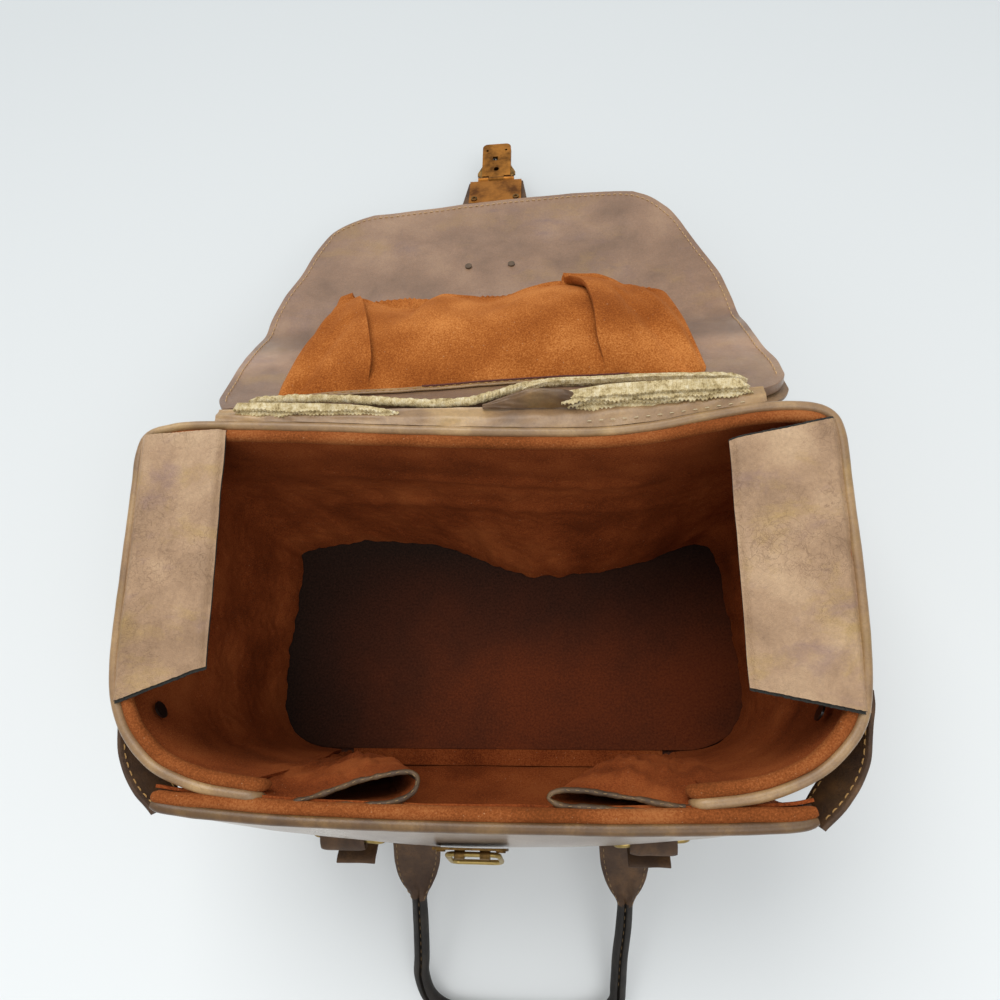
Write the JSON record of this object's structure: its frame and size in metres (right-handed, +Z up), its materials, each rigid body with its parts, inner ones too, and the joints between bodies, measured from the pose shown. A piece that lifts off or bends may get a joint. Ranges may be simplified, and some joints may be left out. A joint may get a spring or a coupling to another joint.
{
  "type": "camera case",
  "caption": "Soft-sided leatherette camera case with a thrown-back folding lid, spring latch, drop front with snapped corner straps, folded gussets, strap rings and a rolled handle.",
  "frame": {"origin": "on the surface that the case stands on, under the middle of its mouth", "axes": "+X to the right seen from the front, +Y to the back where the open lid lies, +Z up"},
  "size_m": [0.3628, 0.6271, 0.1842],
  "materials": {
    "brown_leatherette": "glossy embossed leatherette",
    "stiffener_board": "pressed fibre board",
    "wadding": "soft wadding",
    "hinge_foam": "torn foam on canvas",
    "rust_lining": "short nap",
    "floor_board": "dark embossed board",
    "taupe_piping": "smooth leatherette piping",
    "flap_leatherette": "worn leatherette",
    "dark_leather": "polished leather",
    "brass": "worn, lightly tarnished",
    "steel": "plain wire",
    "black_snap": "black enamel"
  },
  "bodies": {
    "case": {"base_cover": "brown_leatherette", "base_board": "stiffener_board", "floor_panel": "floor_board", "front_hem": "rust_lining", "case_skin": "brown_leatherette", "back_board": "stiffener_board", "side_boards": "stiffener_board", "wall_padding": "wadding", "wall_lining": "rust_lining", "rim_piping": "taupe_piping", "rim_roll": "rust_lining", "snap_studs": "black_snap", "hinge_strip": "brown_leatherette", "hinge_lip_case": "hinge_foam", "gusset_left": "rust_lining", "gusset_right": "rust_lining"},
    "front_panel": {"front_skin": "brown_leatherette", "front_board": "stiffener_board", "front_padding": "wadding", "front_lining": "rust_lining", "front_piping": "taupe_piping", "front_roll": "rust_lining", "loop_plate": "brass", "front_rivets": "brass", "ring_chape_left": "dark_leather", "ring_chape_right": "dark_leather", "handle_anchor_left": "dark_leather", "handle_anchor_right": "dark_leather"},
    "wire_loop": {"wire_loop": "brass"},
    "ring_left": {"ring_left": "brass"},
    "ring_right": {"ring_right": "brass"},
    "handle": {"handle": "dark_leather", "handle_core": "wadding"},
    "strap_left": {"corner_strap_left": "dark_leather", "snap_cap_left": "black_snap"},
    "strap_right": {"corner_strap_right": "dark_leather", "snap_cap_right": "black_snap"},
    "dust_flap_left": {"dust_flap_left": "flap_leatherette"},
    "dust_flap_right": {"dust_flap_right": "flap_leatherette"},
    "lid": {"lid_skin": "brown_leatherette", "lid_board": "stiffener_board", "lid_lining": "flap_leatherette", "lid_pouch": "rust_lining", "pouch_binding": "rust_lining", "pouch_elastic": "rust_lining", "lid_rivets": "brass", "hinge_lip_lid": "hinge_foam"},
    "lid_front": {"lid_front_skin": "brown_leatherette", "lid_front_board": "stiffener_board", "lid_front_lining": "flap_leatherette", "latch_tab": "dark_leather", "latch_plate": "brass", "latch_cover": "brass", "latch_rivets": "brass", "hasp_pin": "steel"},
    "hasp": {"hasp_plate": "brass", "hasp_back": "brass", "catch_spring": "steel"},
    "catch_left": {"catch_left": "brass"},
    "catch_right": {"catch_right": "brass"}
  },
  "joints": [
    {"name": "lid_hinge", "type": "hinge", "parent": "case", "child": "lid", "pos_m": [0.003, 0.1025, 0.179], "axis": [1, 0, 0], "range_deg": [0, 210], "deforming": ["hinge_strip"]},
    {"name": "lid_fold", "type": "hinge", "parent": "lid", "child": "lid_front", "pos_m": [0.003, 0.28466, 0.06455], "axis": [1, 0, 0], "range_deg": [0, 66]},
    {"name": "hasp_swing", "type": "hinge", "parent": "lid_front", "child": "hasp", "pos_m": [-0.004, 0.34783, 0.03746], "axis": [1, 0, 0], "range_deg": [0, 70]},
    {"name": "catch_left_slide", "type": "slide", "parent": "hasp", "child": "catch_left", "axis": [1, 0, 0], "range_m": [0, 0.003], "stiffness_N_per_m": 250, "springref_m": -0.002, "deforming": ["catch_spring"]},
    {"name": "catch_right_slide", "type": "slide", "parent": "hasp", "child": "catch_right", "axis": [-1, 0, 0], "range_m": [0, 0.003], "stiffness_N_per_m": 250, "springref_m": -0.002, "deforming": ["catch_spring"]},
    {"name": "front_drop", "type": "hinge", "parent": "case", "child": "front_panel", "pos_m": [0, -0.1006, 0.0012], "axis": [1, 0, 0], "range_deg": [0, 55], "deforming": ["gusset_left", "gusset_right"]},
    {"name": "strap_left_swing", "type": "hinge", "parent": "front_panel", "child": "strap_left", "pos_m": [-0.1533, -0.0976, 0.158], "axis": [0, 0, 1], "range_deg": [0, 80]},
    {"name": "strap_right_swing", "type": "hinge", "parent": "front_panel", "child": "strap_right", "pos_m": [0.1533, -0.0976, 0.158], "axis": [0, 0, -1], "range_deg": [0, 80]},
    {"name": "loop_swing", "type": "hinge", "parent": "front_panel", "child": "wire_loop", "pos_m": [-0.00401, -0.11879, 0.13809], "axis": [-1, 0.0036, -0.0006], "range_deg": [-8, 90]},
    {"name": "ring_left_swing", "type": "hinge", "parent": "front_panel", "child": "ring_left", "pos_m": [-0.08088, -0.11984, 0.09194], "axis": [-0.9963, 0.0856, 0.0013], "range_deg": [0, 110]},
    {"name": "ring_right_swing", "type": "hinge", "parent": "front_panel", "child": "ring_right", "pos_m": [0.08791, -0.11921, 0.09194], "axis": [-0.9957, -0.0931, -0.0013], "range_deg": [0, 110]},
    {"name": "handle_swing", "type": "hinge", "parent": "front_panel", "child": "handle", "pos_m": [0.0135, -0.12015, 0.06809], "axis": [-1, 0, 0], "range_deg": [0, 90]},
    {"name": "dust_flap_left_lift", "type": "hinge", "parent": "case", "child": "dust_flap_left", "pos_m": [-0.1764, 0.02, 0.1818], "axis": [0, 1, 0], "range_deg": [-110, 0]},
    {"name": "dust_flap_right_lift", "type": "hinge", "parent": "case", "child": "dust_flap_right", "pos_m": [0.1764, 0.02, 0.1818], "axis": [0, -1, 0], "range_deg": [-110, 0]}
  ]
}
